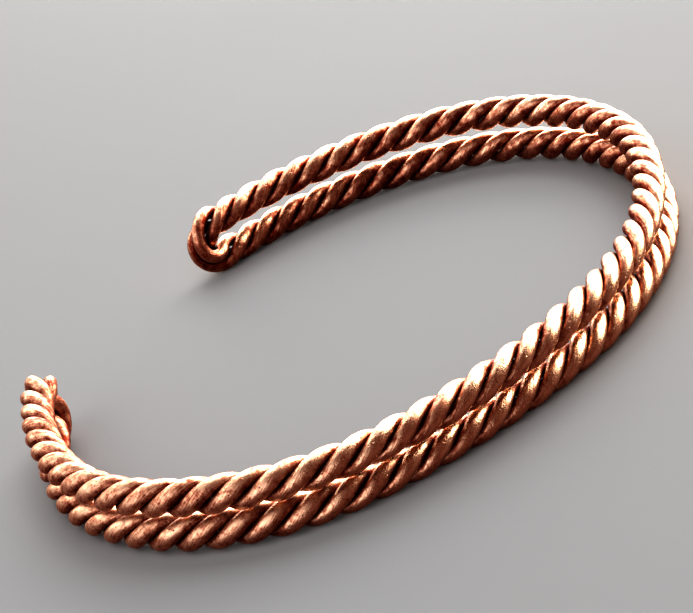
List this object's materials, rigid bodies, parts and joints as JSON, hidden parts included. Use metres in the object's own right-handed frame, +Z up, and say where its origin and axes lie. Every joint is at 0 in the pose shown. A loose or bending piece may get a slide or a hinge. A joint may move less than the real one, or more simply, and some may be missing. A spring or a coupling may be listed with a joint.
{
  "type": "copper cuff bracelet",
  "caption": "Open C-shaped wrist cuff made from one closed loop of twisted copper wire rope, pressed flat into an upper and a lower run that turn into each other at each tip.",
  "frame": {"origin": "middle of the footprint of the cuff lying on its side, on the surface it lies on", "axes": "+Z up, along the wrist that the cuff goes round; the opening between the two tips faces -X and the closed side +X; +Y and -Y point to the two tips' sides, along the cuff's greatest width"},
  "size_m": [0.0523, 0.0658, 0.0074],
  "materials": {
    "copper": "bare copper wire, worn to a soft satin, with darker grooves between the wires"
  },
  "bodies": {
    "root": {"wire_a": "copper", "wire_b": "copper", "wire_c": "copper"}
  },
  "joints": []
}
